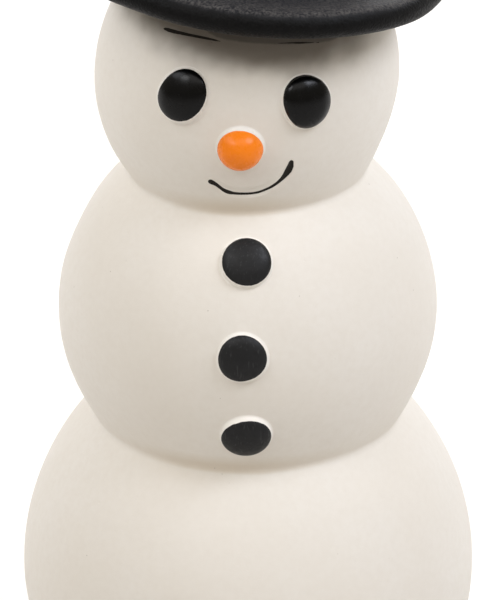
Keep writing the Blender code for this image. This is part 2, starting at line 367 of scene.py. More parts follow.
def body_points(azimuths, heights):
    """Points on the painted body at matching azimuths, from -Y towards +X, and heights."""
    azimuths, heights = np.broadcast_arrays(azimuths, heights)
    trunk = melted(ball_radius(LOWER, heights), ball_radius(MIDDLE, heights), CREASE_BLEND)
    radii = melted(trunk, ball_radius(HEAD, heights), CREASE_BLEND)
    turns = np.stack([np.sin(azimuths), -np.cos(azimuths)], axis=-1)
    true = np.concatenate([radii[..., None] * turns, heights[..., None]], axis=-1)
    radii = radii - LONG_SWELL[-1] - SHORT_SWELL[-1]
    radii = radii + waves(true, *LONG_SWELL) + waves(true, *SHORT_SWELL)
    amount, fade_height = HEAD_LEAN
    lean = (heights - HEAD[2]) * easing(heights, NECK, NECK + fade_height, amount)
    radii = radii + lean * np.sin(azimuths)
    for level, degrees, *lengths in DENTS:
        height, half_width, half_height, depth = (length * MM for length in lengths)
        off = azimuths - math.radians(degrees)
        sideways = radii * np.arctan2(np.sin(off), np.cos(off)) / half_width
        upwards = (heights - LEVELS[level] - height) / half_height
        radii = radii + depth * np.exp(-(sideways**2) - upwards**2)
    return np.concatenate([radii[..., None] * turns, heights[..., None]], axis=-1)


def outside(points):
    """How far each point stands out from the painted body."""
    azimuths = np.arctan2(points[..., 0], -points[..., 1])
    surface = body_points(azimuths, points[..., 2])
    return np.hypot(*points[..., :2].T).T - np.hypot(*surface[..., :2].T).T


def surface_along(starts, axis):
    """How far along the axis the painted body's surface lies from each start."""
    low = np.full(starts.shape[:-1], -15 * MM)
    high = np.full(starts.shape[:-1], 15 * MM)
    for _ in range(26):
        middle = (low + high) / 2
        is_out = outside(starts + middle[..., None] * axis) > 0
        high = np.where(is_out, middle, high)
        low = np.where(is_out, low, middle)
    return (low + high) / 2


def outward(points, ball):
    """Unit normals of a ball at points on it."""
    radius, half_height, centre = ball
    slopes = (points - (0, 0, centre)) / (radius**2, radius**2, half_height**2)
    return slopes / np.linalg.norm(slopes, axis=-1, keepdims=True)


# Meshes


def graded(start, *bands):
    """Numbers from the start up to the end of each (end, step) band, even within each band."""
    values = [start]
    for end, step in bands:
        count = max(1, round((end - values[-1]) / step))
        values.extend(np.linspace(values[-1], end, count + 1)[1:])
    return np.array(values)


def across_of(axis):
    """Two directions square to an axis: towards the right, and up, or backwards for an upright
    axis."""
    right = np.cross((0, 1, 0) if abs(axis[2]) > 0.9 else UP, axis)
    right = right / np.linalg.norm(right)
    return right, np.cross(axis, right)


def ring(centre, axis, radii, turns):
    """Points round an axis, at angles that run anticlockwise from its right."""
    right, up = across_of(axis)
    spokes = np.outer(np.cos(turns), right) + np.outer(np.sin(turns), up)
    return centre + np.reshape(radii, (-1, 1)) * spokes


def even_turns(count):
    return math.tau * np.arange(count) / count


def loft(name, rings, looped=False, crisp=50):
    """A closed mesh through rings that run anticlockwise, seen from beyond the last one. A ring
    of one point is a tip. A looped loft joins its last ring to its first."""
    rings = [np.reshape(points, (-1, 3)) for points in rings]
    starts = np.cumsum([0] + [len(points) for points in rings])
    pairs = list(zip(range(len(rings)), range(1, len(rings))))
    if looped:
        pairs.append((len(rings) - 1, 0))
    faces = []
    for low, high in pairs:
        here = np.arange(max(len(rings[low]), len(rings[high])))
        ahead = np.roll(here, -1)
        corners = [starts[low] + here, starts[low] + ahead]
        corners += [starts[high] + ahead, starts[high] + here]
        if len(rings[low]) == 1:
            corners = [starts[low] + 0 * here] + corners[2:]
        elif len(rings[high]) == 1:
            corners = corners[:2] + [starts[high] + 0 * here]
        faces.extend(np.stack(corners, axis=1).tolist())
    mesh = bpy.data.meshes.new(name)
    mesh.from_pydata(np.concatenate(rings).tolist(), [], faces)
    mesh.shade_smooth()
    mesh.set_sharp_from_angle(angle=math.radians(crisp))
    piece = bpy.data.objects.new(name, mesh)
    bpy.context.scene.collection.objects.link(piece)
    return piece


def vertices_of(piece):
    flat = np.empty(3 * len(piece.data.vertices))
    piece.data.vertices.foreach_get("co", flat)
    return flat.reshape(-1, 3)


def store(piece, name, values):
    """Keeps one number for each vertex, in millimetres, for the piece's material to read."""
    attribute = piece.data.attributes.new(name, "FLOAT", "POINT")
    attribute.data.foreach_set("value", np.asarray(values / MM, np.float32))


def mark_crease_shade(piece):
    """Stores how near each point is to a crease's front, for the painted shade in the creases. It
    stays full for a little way above the crease, and falls off fast below it."""
    points = vertices_of(piece)
    azimuths = np.arctan2(points[:, 0], -points[:, 1])
    front = np.exp(-(((azimuths - CREASE_SHADE_MIDDLE) / CREASE_SHADE_HALF_WIDTH) ** 2))
    closeness = np.zeros(len(points))
    for crease in (WAIST, NECK):
        above = points[:, 2] - crease
        distance = np.where(above > 0, above - CREASE_SHADE_HEIGHT, -CREASE_SHADE_FALL * above)
        closeness = np.maximum(closeness, CREASE_SHADE_REACH - np.maximum(distance, 0))
    store(piece, "crease", closeness * front)


def drill(piece, cutter):
    """Takes the cutter out of the piece for good."""
    taken = piece.modifiers.new("drill", "BOOLEAN")
    taken.operation = "DIFFERENCE"
    taken.solver = "EXACT"
    taken.object = cutter
    graph = bpy.context.evaluated_depsgraph_get()
    drilled = bpy.data.meshes.new_from_object(piece.evaluated_get(graph))
    piece.modifiers.clear()
    piece.data = drilled
    bpy.data.objects.remove(cutter)


def inside_stroke(points, line, half_widths):
    """How deep inside a brush stroke each point is, below zero outside it. The stroke follows the
    line, and its half width changes evenly from each of the line's points to the next."""
    depth = np.full(len(points), -1.0)
    for i in range(len(line) - 1):
        run = line[i + 1] - line[i]
        share = np.clip((points - line[i]) @ run / (run @ run), 0, 1)
        distance = np.linalg.norm(points - line[i] - np.outer(share, run), axis=1)
        half_width = half_widths[i] + share * (half_widths[i + 1] - half_widths[i])
        depth = np.maximum(depth, half_width - distance)
    return depth


# Balls


def pin_hole(mouth_centre, axis, pin, columns, inwards):
    """Rings of a drilled pin hole, from its mouth to the drill's point. The pin's own solid says
    how wide and how deep. Inwards is +1 for a hole that runs up the axis and -1 for down."""
    middle, _, low, high, radius = turned_about(pin)
    pin_end = (middle - mouth_centre) @ axis + (high if inwards > 0 else low)
    depth = abs(pin_end) + GLUE_WELL
    wide = radius + PIN_GAP
    mouth = ring(mouth_centre, axis, wide, columns)
    step = inwards * axis
    return [mouth, mouth + depth * step, mouth_centre + (depth + wide * DRILL_SLOPE) * step]


def turns_of(azimuths):
    """Azimuths from -Y towards +X as angles anticlockwise from the right of an upright axis."""
    return azimuths - math.pi / 2


def make_lower():
    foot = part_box("body_lower")[0].z
    azimuths = np.radians(graded(-180, (178.5, 1.5)))
    edge_width, edge_height = FOOT_EDGE
    edge_top = foot + edge_height
    heights = graded(edge_top, (WAIST - 4 * MM, 0.7 * MM), (WAIST - SEAM, 0.2 * MM))
    side = list(body_points(*np.meshgrid(azimuths, heights)))
    turns = turns_of(azimuths)
    side_radius = np.hypot(*side[0][:, :2].T)
    tread = side_radius.min() - edge_width
    foot_centre = np.array((0, 0, foot))
    flat = [foot_centre]
    flat += [ring(foot_centre, UP, share * tread, turns) for share in (0.25, 0.5, 0.75, 0.92, 1)]
    for angle in np.radians((25, 50, 75)):
        radii = tread + (side_radius - tread) * math.sin(angle)
        height = edge_top + (foot - edge_top) * math.cos(angle)
        flat.append(ring(np.array((0, 0, height)), UP, radii, turns))
    seat = np.array((0, 0, WAIST - SEAM))
    hole = pin_hole(seat, UP, "waist_dowel", turns, -1)
    piece = loft("lower_ball", flat + side + hole)
    points = vertices_of(piece)
    sole = np.where(points[:, 2] < foot + 0.2 * MM, tread - np.hypot(*points[:, :2].T), -2 * MM)
    store(piece, "bare", sole)
    return piece


def make_middle():
    azimuths = np.radians(
        graded(-180, (-54, 3), (-18, 1.2), (18, 0.6), (54, 1.2), (177, 3))
    )
    heights = graded(
        WAIST + SEAM,
        (WAIST + 3 * MM, 0.2 * MM),
        (NECK - 3 * MM, 0.45 * MM),
        (NECK - SEAM, 0.2 * MM),
    )
    turns = turns_of(azimuths)
    low_seat = np.array((0, 0, WAIST + SEAM))
    high_seat = np.array((0, 0, NECK - SEAM))
    rings = pin_hole(low_seat, UP, "waist_dowel", turns, +1)[::-1]
    rings += list(body_points(*np.meshgrid(azimuths, heights)))
    rings += pin_hole(high_seat, UP, "neck_dowel", turns, -1)
    return loft("middle_ball", rings)


def smile_line():
    """Points on the head along the smile, from its right end to its left, and the half width of
    the brush stroke at each."""
    line = np.array(SMILE) * MM
    for _ in range(2):
        near, far = 0.75 * line[:-1] + 0.25 * line[1:], 0.25 * line[:-1] + 0.75 * line[1:]
        rounded = np.stack([near, far], axis=1).reshape(-1, 2)
        line = np.concatenate([line[:1], rounded[1:-1], line[-1:]])
    sideways, rise = line.T
    heights = HEAD[2] + rise
    line = body_points(np.arcsin(sideways / ball_radius(HEAD, heights)), heights)
    lengths = np.linalg.norm(np.diff(line, axis=0), axis=1)
    shares = np.concatenate([[0], np.cumsum(lengths)]) / lengths.sum()
    return line, np.interp(shares, *zip(*SMILE_STROKE)) * MM


def make_head():
    """The head's rows lean more and more towards its top, to end square to the hat's axis."""
    azimuths = np.radians(
        graded(-180, (-60, 3), (-20, 0.9), (20, 0.3), (60, 0.9), (177, 3))
    )
    brim_middle, hat_axis, brim_low, _, _ = turned_about("hat_brim")
    seat = brim_middle + (brim_low - 2 * SEAM) * hat_axis
    tops = np.full(len(azimuths), seat[2])
    for _ in range(12):
        tops = tops - (body_points(azimuths, tops) - seat) @ hat_axis / hat_axis[2]
    top = tops.mean()
    smile_low, smile_high = SMILE_ROWS
    heights = graded(
        NECK + SEAM,
        (HEAD[2] + smile_low, 0.2 * MM),
        (HEAD[2] + smile_high, 0.15 * MM),
        (HEAD[2] + SLIP_ROWS, 0.45 * MM),
        (top, 0.2 * MM),
    )
    level_up_to = HEAD[2] + LEVEL_ROWS
    lean = np.clip((heights - level_up_to) / (top - level_up_to), 0, 1) ** 2
    heights = heights[:, None] + lean[:, None] * (tops - top)
    skin = body_points(azimuths[None, :], heights)
    line, _ = smile_line()
    flat = skin.reshape(-1, 3)
    deep, floor, mouth = GROOVE
    to_end = np.abs(np.linspace(-1, 1, len(line))) ** 6
    distance = 2 * mouth - inside_stroke(flat, line, (2 - GROOVE_TAPER * to_end) * mouth)
    share = (distance - floor) / (mouth - floor)
    depth = deep * np.cos(np.clip(share, 0, 1) * math.pi / 2) ** 2
    skin = (flat - depth[:, None] * outward(flat, HEAD)).reshape(skin.shape)

    turns = turns_of(azimuths)
    neck_seat = np.array((0, 0, NECK + SEAM))
    rings = pin_hole(neck_seat, UP, "neck_dowel", turns, +1)[::-1]
    rings += list(skin)
    rings += pin_hole(seat, hat_axis, "hat_dowel", turns, -1)
    return loft("head_ball", rings)


def paint_head(piece):
    """Stores how deep inside a black brush stroke each point of the head is, how far it is below
    the hat for the painted shadow of the brim, and how deep inside the dark band under the brim's
    front, as if the groove were filled."""
    points = vertices_of(piece)
    azimuths = np.arctan2(points[:, 0], -points[:, 1])
    on_skin = outside(points) > -MM
    points = np.where(on_skin[:, None], body_points(azimuths, points[:, 2]), points)
    line, half_widths = smile_line()
    depth = inside_stroke(points, line - STROKE_DROP * UP, half_widths)
    for slip in SLIPS:
        degrees, rises, half_widths = np.array(slip).T
        line = body_points(np.radians(degrees), HEAD[2] + rises * MM)
        depth = np.maximum(depth, inside_stroke(points, line, half_widths * MM))
    store(piece, "stroke", depth)
    brim_middle, hat_axis, brim_low, _, _ = turned_about("hat_brim")
    middle, half_width, left_rise, right_rise = BRIM_SHADOW_SIDES
    sideways = np.abs(azimuths - middle) / half_width
    below = brim_low - (points - brim_middle) @ hat_axis
    near, far, _ = BRIM_SHADOW
    fade_middle = (near + far) / 2
    rise = np.where(azimuths < middle, left_rise, right_rise)
    from_edge = (below + rise * sideways**2 - fade_middle) / (1 + BRIM_SHADOW_BLUR * sideways)
    store(piece, "below_hat", fade_middle + from_edge)
    low, middle, half_width, _ = UNDER_BRIM_BAND
    sideways = np.abs(azimuths - middle) / half_width
    rise = UNDER_BRIM_BAND_RISE * np.maximum(sideways - 1, 0) ** 2
    store(piece, "under_brim_band", low - below - rise)


# Plugs


def harmonics(turns, terms):
    """Sum of (how many times round, amount, degrees where it is largest) waves round a plug."""
    total = 0 * turns
    for order, amount, degrees in terms:
        total = total + amount * np.cos(order * (turns - math.radians(degrees)))
    return total


def make_plug(node, fullness, spread, oval, rim, rim_waves):
    """A domed plug whose foot melts into the ball, and the cutter of its stepped hole. Fullness
    is the power of the dome's outline: 2 is an ellipse, more is fuller. The dome's foot is wider
    than the solid's by the spread, and the paint stops short of it by the bare rim."""
    middle, axis, low, high, radius = turned_about(node)
    turns = even_turns(PLUG_COLUMNS)
    foot_radius = radius + (spread + harmonics(turns, oval)) * MM
    proud = high - surface_along(middle, axis)

    def at_surface(radii, rise):
        start = ring(middle, axis, radii, turns)
        return start + (surface_along(start, axis) + rise)[:, None] * axis

    def at_level(radii, level, columns=turns):
        return ring(middle + level * axis, axis, radii, columns)

    shoulder = low + TENON_LENGTH
    neck_radius = foot_radius - SPOT_FACE_INSET - SPOT_FACE_GAP
    tuck_out, tuck_depth, neck_depth = TUCK
    hidden = [
        middle + low * axis,
        at_level(TENON_RADIUS - TENON_CHAMFER, low),
        at_level(TENON_RADIUS, low + TENON_CHAMFER),
        at_level(TENON_RADIUS, shoulder),
        at_level(neck_radius, shoulder),
        at_surface(neck_radius, -neck_depth),
        at_surface(foot_radius + SKIRT + tuck_out, -tuck_depth),
    ]
    visible = []
    for angle in np.linspace(0, math.pi / 2, SKIRT_ROWS):
        out = foot_radius + SKIRT * (1 - math.sin(angle))
        visible.append(at_surface(out, SKIRT * (1 - math.cos(angle))))
    for share in np.linspace(0, 1, DOME_ROWS + 1)[1:-1] ** DOME_SPACING:
        angle = share * math.pi / 2
        out = foot_radius * math.cos(angle) ** (2 / fullness)
        rise = SKIRT + (proud - SKIRT) * math.sin(angle) ** (2 / fullness)
        visible.append(at_surface(out, np.full(len(turns), rise)))
    tip = middle + high * axis
    piece = loft(node + "_plug", hidden + visible + [tip])

    distances = [np.full(1, -MM)] + [np.full(len(turns), -MM) for _ in hidden[1:]]
    bare_rim = (rim + harmonics(turns, rim_waves)) * MM
    lengths = np.cumsum(
        [np.linalg.norm(above - below, axis=1) for below, above in zip(visible, visible[1:])],
        axis=0,
    )
    lengths = np.concatenate([np.zeros((1, len(turns))), lengths])
    lengths -= lengths[SKIRT_ROWS - 1]
    distances += list(lengths - bare_rim)
    distances.append(np.full(1, lengths[-1].mean()))
    store(piece, "paint", np.concatenate(distances))

    hole_turns = even_turns(HOLE_COLUMNS)
    wide = TENON_RADIUS + PIN_GAP
    floor = shoulder - PIN_GAP
    hole_end = low - GLUE_WELL
    clear = high + 3 * MM
    spot = np.interp(hole_turns, turns, foot_radius, period=math.tau) - SPOT_FACE_INSET
    cutter = loft(
        node + "_hole",
        [
            middle + (hole_end - wide * DRILL_SLOPE) * axis,
            at_level(wide, hole_end, hole_turns),
            at_level(wide, floor, hole_turns),
            at_level(spot, floor, hole_turns),
            at_level(spot, clear, hole_turns),
            middle + clear * axis,
        ],
    )
    return piece, cutter


# Hat


def wear_and_sheen(lift, inwards):
    """How much the hat's paint shows wear and painted sheen, from how far it faces up and how far
    in from an edge it is, which is below zero."""
    low, high = WEAR_AND_SHEEN_FACING
    return np.clip((lift - low) / (high - low), 0, 1) * np.exp(inwards / WEAR_AND_SHEEN_EDGE)


def make_brim():
    middle, axis, low, high, radius = turned_about("hat_brim")
    pin_radius = turned_about("hat_dowel")[4]
    bore = pin_radius + PIN_GAP
    turns = even_turns(BRIM_COLUMNS)
    half = (high - low) / 2
    centre = (low + high) / 2
    edge = radius - half
    flats = graded(bore, (edge, 2.6 * MM))
    section = [(out, low) for out in flats[:-1]]
    for angle in np.radians(graded(-90, (90, 6))):
        section.append((edge + half * math.cos(angle), centre + half * math.sin(angle)))
    section += [(out, high) for out in flats[-2::-1]]
    rings = []
    facing_up, rubbed_and_sheen = [], []
    for out, level in section:
        rounded = max(out - edge, 0) / half
        points = ring(middle + level * axis, axis, out, turns)
        wave = waves(points, *BRIM_SWELL) - BRIM_SHRINK
        spokes = ring(np.zeros(3), axis, 1, turns)
        lift = np.sign(level - centre) * math.sqrt(max(1 - rounded**2, 0))
        fade = min(1, (out - bore) / SWELL_FADES_IN)
        points = points + (fade * wave)[:, None] * (rounded * spokes + lift * axis)
        sideways = points[:, 0]
        droop = easing(-sideways, *LEFT_DROOP) + easing(sideways, *RIGHT_DROOP)
        droop *= easing(out, *DROOPS_FROM)
        points[:, 0] -= easing(np.abs(sideways), *BRIM_PINCH) * np.sign(sideways)
        rings.append(points - droop[:, None] * axis)
        facing_up.append(np.full(len(turns), lift))
        rubbed_and_sheen.append(np.full(len(turns), wear_and_sheen(lift, min(out - edge, 0))))
    piece = loft("brim", rings, looped=True, crisp=60)
    store(piece, "facing_up", np.concatenate(facing_up) * MM)
    store(piece, "rubbed_and_sheen", np.concatenate(rubbed_and_sheen) * MM)
    return piece


def make_crown():
    middle, axis, _, high, radius = turned_about("hat_crown")
    turns = even_turns(CROWN_COLUMNS)
    brim_middle, _, _, brim_high, _ = turned_about("hat_brim")
    foot = (brim_middle - middle) @ axis + brim_high + SEAM
    section = [(CROWN_FOOT + CROWN_FILLET, foot)]
    for angle in np.radians(graded(15, (90, 15))):
        lean_in = CROWN_FILLET * (1 - math.sin(angle))
        section.append((CROWN_FOOT + lean_in, foot + CROWN_FILLET * (1 - math.cos(angle))))
    side_top = high - CROWN_EDGE
    side_low = foot + CROWN_FILLET
    for share in np.linspace(0, 1, CROWN_ROWS + 1)[1:]:
        belly = math.sin(math.pi * share)
        flare = share + LATE_FLARE * belly * (share - 1)
        out = CROWN_FOOT + (radius - CROWN_FOOT) * flare - CROWN_WAIST * belly
        section.append((out, side_low + share * (side_top - side_low)))
    for angle in np.radians(graded(7.5, (90, 7.5))):
        out = radius - CROWN_EDGE * (1 - math.cos(angle))
        section.append((out, side_top + CROWN_EDGE * math.sin(angle)))
    for share in (0.85, 0.7, 0.55, 0.4, 0.25, 0.1):
        section.append((share * (radius - CROWN_EDGE), high - TOP_DISH * (1 - share)))
    rings = []
    for out, level in section:
        points = ring(middle + level * axis, axis, out, turns)
        spokes = ring(np.zeros(3), axis, 1, turns)
        above_foot = np.clip((level - foot) / FOOT_FADES_IN, 0, 1)
        fade = above_foot * min(1, out / SWELL_FADES_IN)
        wave = waves(points, *CROWN_SWELL) - CROWN_SHRINK
        rings.append(points + (fade * wave)[:, None] * spokes)
    foot_centre = middle + foot * axis
    hole = pin_hole(foot_centre, axis, "hat_dowel", turns, +1)[::-1]
    tip = middle + (high - TOP_DISH) * axis
    piece = loft("crown", hole + rings + [tip], crisp=60)
    points = vertices_of(piece) - middle
    rise = np.clip((points @ axis - side_top) / CROWN_EDGE, 0, 1)
    across = np.linalg.norm(points - np.outer(points @ axis, axis), axis=1)
    inwards = np.minimum(across - radius + CROWN_EDGE, 0)
    store(piece, "facing_up", rise * MM)
    store(piece, "rubbed_and_sheen", wear_and_sheen(rise, inwards) * MM)
    return piece


# Materials


class Look:
    """A material in the making. Each method adds one node and gives back its output."""

    def __init__(self, name, **constants):
        self.material = bpy.data.materials.new(name)
        self.material.use_nodes = True
        self.nodes = self.material.node_tree.nodes
        self.links = self.material.node_tree.links
        self.shader = self.nodes["Principled BSDF"]
        for socket, value in constants.items():
            self.shader.inputs[socket.replace("_", " ")].default_value = value
        self.place = self.add("TexCoord").outputs["Object"]

    def add(self, kind, inputs=None, **settings):
        made = self.nodes.new("ShaderNode" + kind)
        for name, value in settings.items():
            setattr(made, name, value)
        for key, value in (inputs or {}).items():
            self.feed(made.inputs[key], value)
        return made

    def feed(self, socket, value):
        if isinstance(value, bpy.types.NodeSocket):
            self.links.new(value, socket)
        else:
            socket.default_value = value

    def attribute(self, name):
        return self.add("Attribute", attribute_name=name).outputs["Fac"]

    def math(self, operation, one, other=0.0):
        return self.add("Math", {0: one, 1: other}, operation=operation).outputs[0]

    def noise(self, size, detail=2.0, stretch=(1, 1, 1), offset=0.0):
        """Soft random blotches of about that size, from 0 to 1."""
        place = self.place
        if tuple(stretch) != (1, 1, 1) or offset:
            scale = tuple(1 / s for s in stretch)
            place = self.add(
                "Mapping", {"Vector": place, "Scale": scale, "Location": (offset,) * 3}
            ).outputs[0]
        inputs = {"Vector": place, "Scale": 1 / size, "Detail": detail}
        return self.add("TexNoise", inputs).outputs["Fac"]

    def dots(self, spacing, radius):
        """Round specks: 1 within about that radius of scattered points, 0 elsewhere."""
        inputs = {"Vector": self.place, "Scale": 1 / spacing}
        distance = self.add("TexVoronoi", inputs).outputs["Distance"]
        share = radius / spacing
        return self.span(distance, 0.6 * share, share, 1, 0)

    def span(self, value, low, high, to_low=0.0, to_high=1.0, smooth=False):
        inputs = {0: value, 1: low, 2: high, 3: to_low, 4: to_high}
        kind = "SMOOTHSTEP" if smooth else "LINEAR"
        return self.add("MapRange", inputs, interpolation_type=kind).outputs[0]

    def mix(self, factor, one, other):
        """Between two colours, given as (r, g, b) or as sockets."""
        one, other = (c if isinstance(c, bpy.types.NodeSocket) else (*c, 1) for c in (one, other))
        return self.add("Mix", {0: factor, 6: one, 7: other}, data_type="RGBA").outputs[2]

    def mix_number(self, factor, one, other):
        return self.add("Mix", {0: factor, 2: one, 3: other}, data_type="FLOAT").outputs[0]

    def relief(self, *layers):
        """Adds up (pattern, height in mm) layers."""
        total = 0.0
        for pattern, height in layers:
            total = self.add(
                "Math", {0: pattern, 1: height, 2: total}, operation="MULTIPLY_ADD"
            ).outputs[0]
        return total

    def finish(self, coat):
        """Connects a coat: (colour, roughness, relief in mm)."""
        colour, roughness, height = coat
        self.feed(self.shader.inputs["Base Color"], colour)
        self.feed(self.shader.inputs["Roughness"], roughness)
        bump = self.add("Bump", {"Height": height, "Distance": MM, "Strength": 1.0})
        self.feed(self.shader.inputs["Normal"], bump.outputs[0])
        return self.material

    def over(self, cover, top, under):
        """One coat over another, where the cover is 1."""
        colour = self.mix(cover, under[0], top[0])
        roughness = self.mix_number(cover, under[1], top[1])
        height = self.mix_number(cover, under[2], top[2])
        return colour, roughness, height

    def painted(self, attribute, softness=0.03, raggedness=0.10, size=0.9 * MM):
        """1 where the stored depth is above zero, with an edge as uneven as a brush leaves."""
        wobble = self.span(self.noise(size, 2.0), 0, 1, -raggedness, raggedness)
        depth = self.math("ADD", self.attribute(attribute), wobble)
        return self.span(depth, -softness, softness, smooth=True)


def cream(look):
    """Matte cream paint: a little warmer in places, with sparse specks, a fine tooth and painted
    shade in the creases.
    """
    tone = look.span(look.noise(24 * MM, 2.0), 0.3, 0.7)
    colour = look.mix(tone, (0.790, 0.742, 0.668), (0.815, 0.775, 0.712))
    mottle = look.span(look.noise(1.4 * MM, 3.0), 0.35, 0.75, 0.0, 0.5)
    colour = look.mix(mottle, colour, (0.765, 0.715, 0.640))
    # Painted shade: a warm darkening along the creases' fronts
    crease_shade = look.span(look.attribute("crease"), 0.2, CREASE_SHADE_REACH / MM, 0, 0.52)
    colour = look.mix(crease_shade, colour, (0.62, 0.52, 0.39))
    specks = look.math("MULTIPLY", look.dots(5.5 * MM, 0.17 * MM), 0.45)
    colour = look.mix(specks, colour, (0.34, 0.29, 0.23))
    roughness = look.span(look.noise(3.0 * MM, 3.0), 0.3, 0.7, 0.50, 0.62)
    height = look.relief(
        (look.noise(0.35 * MM, 2.0), 0.012),
        (look.noise(2.4 * MM, 2.0), 0.030),
        (look.noise(1.0 * MM, 1.0, (14, 14, 1)), 0.008),
        (look.dots(7.0 * MM, 0.3 * MM), -0.03),
    )
    return colour, roughness, height


def black_stroke(look):
    """Thin black brushwork, a little brown where it is thinnest."""
    colour = look.mix(look.noise(0.5 * MM), (0.006, 0.005, 0.004), (0.020, 0.015, 0.010))
    height = look.relief((look.noise(0.4 * MM), 0.04))
    return colour, 0.6, height


def gloss_black(look):
    colour = look.mix(look.noise(1.8 * MM), (0.0004, 0.0004, 0.0005), (0.0011, 0.0011, 0.0013))
    roughness = look.span(look.noise(1.5 * MM, 3.0), 0.35, 0.7, 0.22, 0.29)
    height = look.relief(
        (look.noise(2.4 * MM, 1.0), 0.03),
        (look.noise(0.3 * MM, 1.0), 0.002),
    )
    return colour, roughness, height


def satin_black(look):
    colour = look.mix(look.noise(1.2 * MM, 3.0), (0.007, 0.007, 0.0075), (0.013, 0.013, 0.014))
    scratch = look.span(look.noise(0.35 * MM, 1.0, (1, 1, 9)), 0.62, 0.7)
    colour = look.mix(look.math("MULTIPLY", scratch, 0.25), colour, (0.06, 0.06, 0.06))
    roughness = look.span(look.noise(0.9 * MM, 3.0), 0.35, 0.7, 0.42, 0.58)
    height = look.relief(
        (look.noise(1.3 * MM, 2.0), 0.07),
        (look.noise(0.35 * MM, 2.0), 0.012),
    )
    return colour, roughness, height


def gloss_orange(look):
    colour = look.mix(look.noise(1.6 * MM, 2.0), (0.96, 0.245, 0.010), (0.90, 0.205, 0.009))
    roughness = look.span(look.noise(1.2 * MM, 2.0), 0.35, 0.7, 0.24, 0.34)
    height = look.relief((look.noise(1.8 * MM, 1.0), 0.06), (look.noise(0.3 * MM), 0.005))
    return colour, roughness, height


def grained_black(look):
    """The hat's paint: black and pebbly, grey where it faces up, most at an edge, from wear and
    painted sheen.
    """
    blotches = look.noise(2.2 * MM, 3.0)
    uneven = look.span(blotches, 0, 1, -0.15, 0.15)
    grain = look.noise(0.45 * MM, 3.0)
    colour = look.mix(look.noise(0.8 * MM, 3.0), (0.0004, 0.0004, 0.0005), (0.0018, 0.0018, 0.0021))
    # Grey where it faces up: dust, and painted sheen of the light from above
    facing = look.math("ADD", look.attribute("facing_up"), uneven)
    colour = look.mix(look.span(facing, 0.6, 0.95), colour, (0.020, 0.020, 0.023))
    # Pale speckles at the up-facing edges: wear, and painted highlight
    rubbed_and_sheen = look.math("ADD", look.attribute("rubbed_and_sheen"), look.math("MULTIPLY", uneven, 1.5))
    speckle = look.span(grain, 0.36, 0.66)
    wear_and_sheen = look.math("MULTIPLY", speckle, look.span(rubbed_and_sheen, 0.05, 0.9, 0.03, 0.85))
    colour = look.mix(wear_and_sheen, colour, (0.098, 0.092, 0.087))
    roughness = look.span(grain, 0.35, 0.65, 0.40, 0.62)
    height = look.relief((grain, 0.14), (look.noise(0.2 * MM, 1.0), 0.03), (blotches, 0.10))
    return colour, roughness, height


def beech(look):
    grain = look.noise(0.5 * MM, 4.0, (1, 1, 18))
    colour = look.mix(look.span(grain, 0.35, 0.65), (0.60, 0.40, 0.22), (0.70, 0.50, 0.31))
    flecks = look.span(look.noise(0.3 * MM, 1.0, (1, 1, 5), 3.0), 0.66, 0.72, 0, 0.6)
    colour = look.mix(flecks, colour, (0.42, 0.25, 0.13))
    return colour, 0.7, look.relief((grain, 0.06))


def end_grain(look):
    """Bare sawn wood across the grain: growth rings about a pith to one side."""
    shifted = look.add("Mapping", {"Vector": look.place, "Location": (0.012, -0.02, 0)}).outputs[0]
    rings = look.add(
        "TexWave",
        {"Vector": shifted, "Scale": 95.0, "Distortion": 1.6, "Detail": 2.0},
        wave_type="RINGS",
        rings_direction="Z",
    ).outputs["Fac"]
    colour = look.mix(rings, (0.56, 0.38, 0.22), (0.70, 0.52, 0.33))
    pores = look.noise(0.25 * MM, 2.0)
    colour = look.mix(look.span(pores, 0.6, 0.7, 0, 0.5), colour, (0.36, 0.23, 0.13))
    return colour, 0.78, look.relief((pores, 0.05), (rings, 0.04))


def plain_paint(name, coat, ior):
    look = Look(name, IOR=ior)
    return look.finish(coat(look))


def plug_paint(name, coat, ior):
    """The coat, and round its edge a bare rim where the cream lies thick and pale."""
    look = Look(name, IOR=ior)
    colour, roughness, height = cream(look)
    pale = look.mix(0.5, colour, (0.88, 0.85, 0.80))
    rim = (pale, roughness, height)
    return look.finish(look.over(look.painted("paint"), coat(look), rim))


def head_paint():
    look = Look("cream_paint_with_smile", IOR=CREAM_IOR)
    cover = look.painted("stroke", 0.03, 0.04, 0.6 * MM)
    colour, roughness, height = cream(look)
    # Painted shadow of the brim: a warm dark fading down the head's front under the hat
    near, far, density = BRIM_SHADOW
    uneven = look.span(look.noise(6 * MM), 0, 1, -1, 1)
    below = look.math("ADD", look.attribute("below_hat"), uneven)
    brim_shadow = look.span(below, near / MM, far / MM, density, 0, smooth=True)
    colour = look.mix(brim_shadow, colour, (0.058, 0.036, 0.018))
    # A dark band on the head just under the brim's front
    band_cover = look.math("MULTIPLY", look.painted("under_brim_band", 0.22, 0.12), UNDER_BRIM_BAND[3])
    colour = look.mix(band_cover, colour, (0.008, 0.008, 0.009))
    return look.finish(look.over(cover, black_stroke(look), (colour, roughness, height)))


def foot_paint():
    look = Look("cream_paint_bare_foot", IOR=CREAM_IOR)
    cover = look.painted("bare", 0.05, 1.4, 7 * MM)
    return look.finish(look.over(cover, end_grain(look), cream(look)))


# Assembly


def fit(piece, node, material):
    """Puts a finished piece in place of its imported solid."""
    piece.data.materials.clear()
    piece.data.materials.append(material)
    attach(piece, BODY)
    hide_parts(node)


